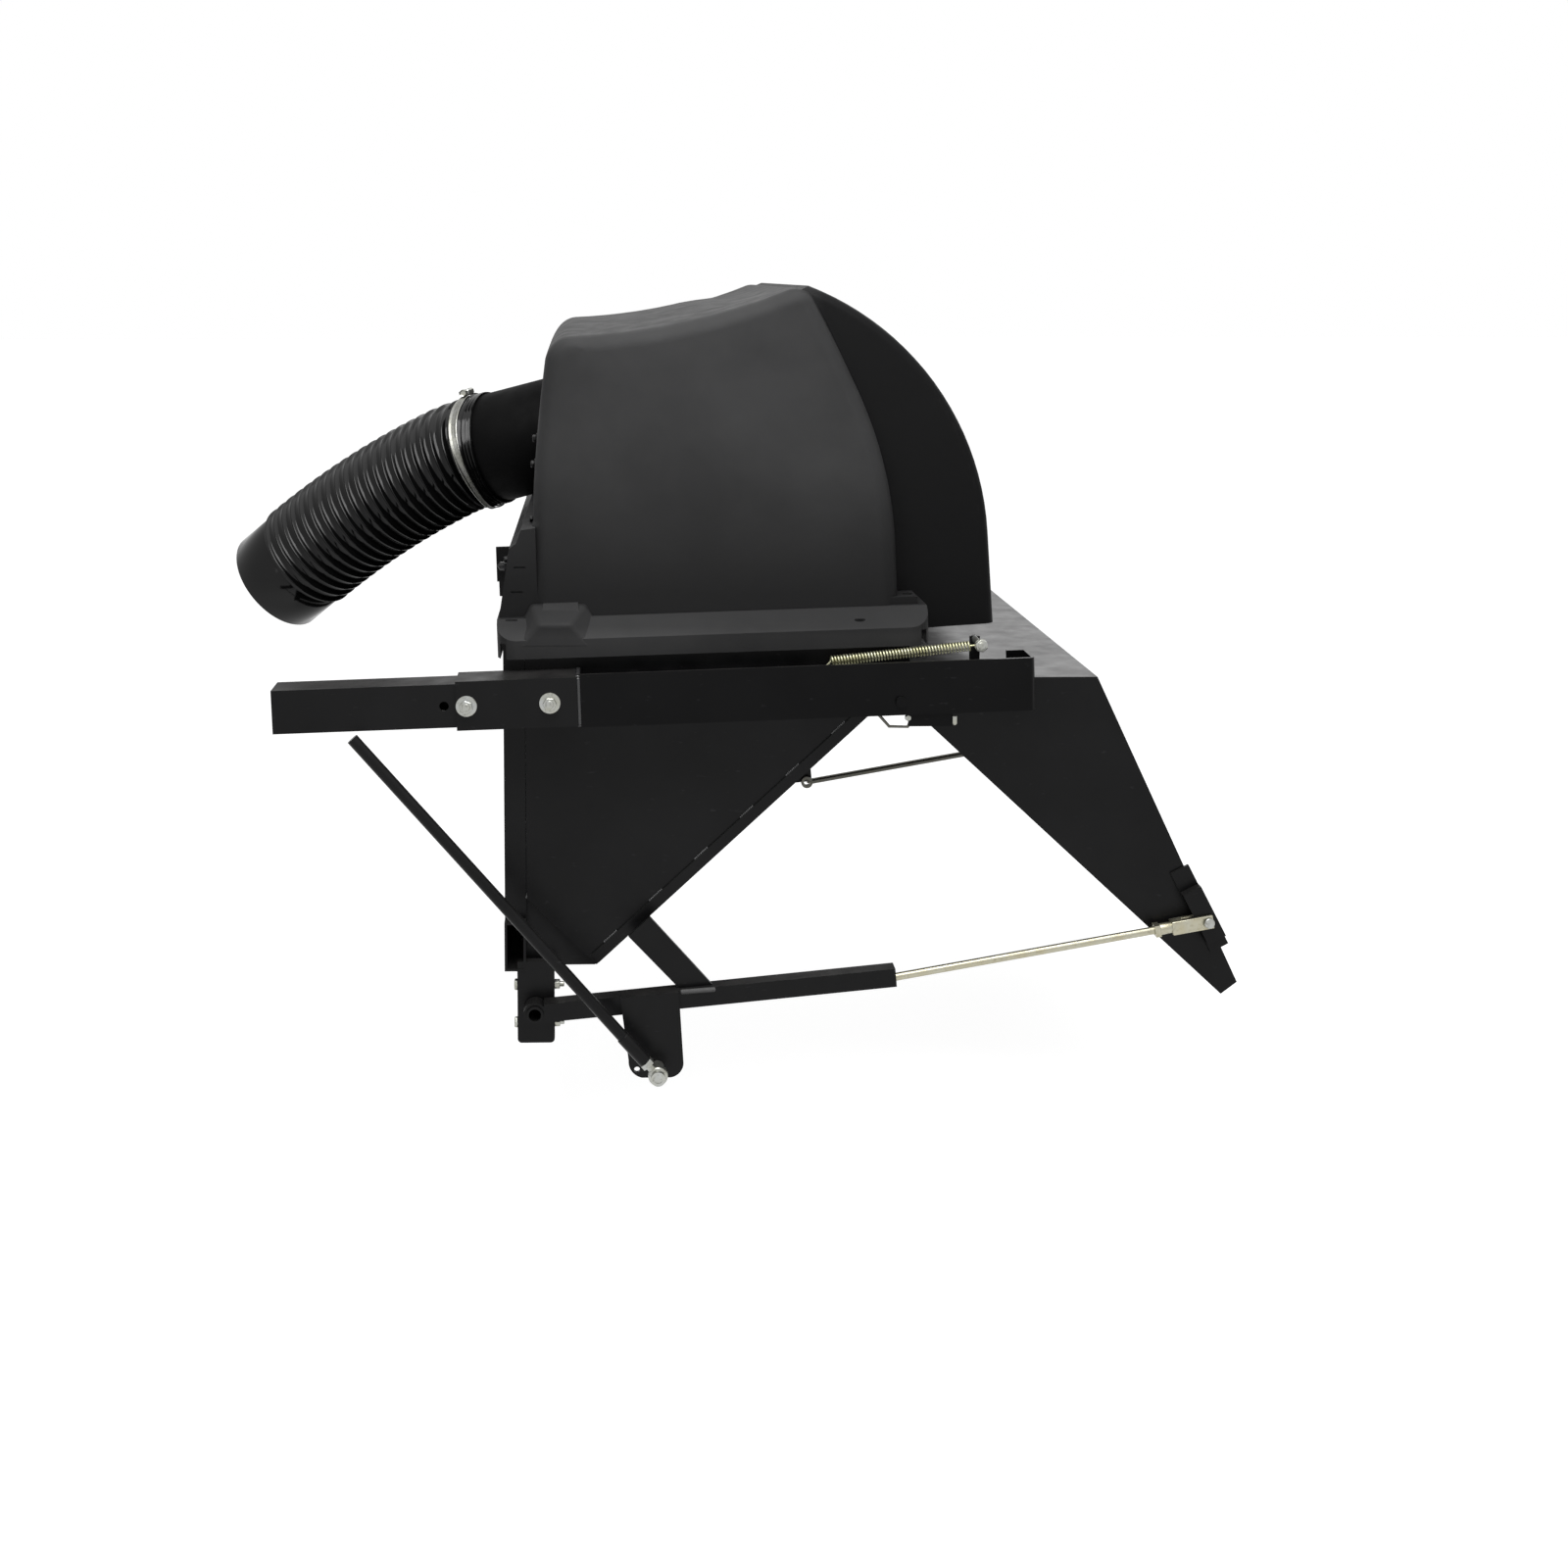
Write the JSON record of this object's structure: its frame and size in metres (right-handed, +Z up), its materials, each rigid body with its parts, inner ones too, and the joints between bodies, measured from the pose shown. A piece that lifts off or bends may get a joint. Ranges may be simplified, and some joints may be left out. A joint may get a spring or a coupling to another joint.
{
  "type": "mower bagger",
  "caption": "Rear grass collector for a ride-on mower: moulded hood and suction hose over a steel hopper whose rear half is a bottom-dump door worked by lift arms and links.",
  "frame": {"origin": "on the axis of the lower pivot tube, at mid width", "axes": "+X to the rear, away from the mower; +Y to the machine's right; +Z up"},
  "size_m": [1.2673, 1.0647, 0.9318],
  "materials": {
    "hood_plastic": "moulded, matte",
    "hose_plastic": "shiny",
    "collar_rubber": "matte",
    "black_paint": "satin powder coat",
    "zinc_plate": "yellow zinc plate"
  },
  "bodies": {
    "frame": {"hopper_side_left": "black_paint", "hopper_side_right": "black_paint", "hopper_strip_left": "black_paint", "hopper_strip_right": "black_paint", "hopper_front": "black_paint", "rear_cross_bar": "black_paint", "front_post_left": "black_paint", "front_post_right": "black_paint", "corner_plate_left": "black_paint", "corner_plate_right": "black_paint", "front_cross_member": "black_paint", "hitch_bracket_left": "black_paint", "hitch_bracket_right": "black_paint", "hinge_tubes": "black_paint", "hinge_pins": "zinc_plate", "rail_left": "black_paint", "rail_right": "black_paint", "sleeve_left": "black_paint", "sleeve_right": "black_paint", "support_tube": "black_paint", "support_stub": "black_paint", "tube_bolts": "zinc_plate", "spring_left": "zinc_plate", "spring_right": "zinc_plate", "spring_studs": "zinc_plate", "hood": "hood_plastic", "inlet_collar": "collar_rubber", "hose_clamp": "zinc_plate", "clamp_screw": "zinc_plate", "suction_hose": "hose_plastic", "latch_plate": "black_paint", "stop_plate_left": "black_paint", "stop_plate_right": "black_paint"},
    "door": {"door_side_left": "black_paint", "door_side_right": "black_paint", "door_skin": "black_paint", "door_bracket_left": "black_paint", "door_bracket_right": "black_paint", "yoke_pins": "zinc_plate", "spring_bracket_left": "black_paint", "spring_bracket_right": "black_paint", "spring_bolts": "zinc_plate"},
    "arms": {"torque_tube": "black_paint", "lift_arm_left": "black_paint", "lift_arm_right": "black_paint", "arm_strap_left": "black_paint", "arm_strap_right": "black_paint", "gusset_plate": "black_paint", "rod_bolt": "zinc_plate"},
    "links": {"yoke_left": "zinc_plate", "yoke_right": "zinc_plate", "jam_nuts": "zinc_plate", "link_rod_left": "zinc_plate", "link_rod_right": "zinc_plate"},
    "tie_rod": {"tie_rod": "black_paint", "tie_rod_end": "zinc_plate"}
  },
  "joints": [
    {"name": "door_hinge", "type": "hinge", "parent": "frame", "child": "door", "pos_m": [0.4264, 0, 0.3756], "axis": [0, 1, 0], "range_deg": [0, 94], "deforming": ["spring_left", "spring_right"]},
    {"name": "arms_pivot", "type": "hinge", "parent": "frame", "child": "arms", "pos_m": [0, 0, 0], "axis": [0, 1, 0], "range_deg": [-72.6, 0]},
    {"name": "links_pivot", "type": "hinge", "parent": "door", "child": "links", "pos_m": [0.8048, 0, 0.0971], "axis": [0, 1, 0], "range_deg": [0, 2.4]},
    {"name": "tie_rod_pivot", "type": "hinge", "parent": "arms", "child": "tie_rod", "pos_m": [0.1443, 0, -0.0635], "axis": [0, 1, 0], "range_deg": [0, 61.1]}
  ],
  "couplings": [
    {"joint": "arms_pivot", "follows": "door_hinge", "ratio": -0.77149},
    {"joint": "links_pivot", "follows": "door_hinge", "ratio": 0.02511},
    {"joint": "tie_rod_pivot", "follows": "door_hinge", "ratio": 0.649}
  ]
}
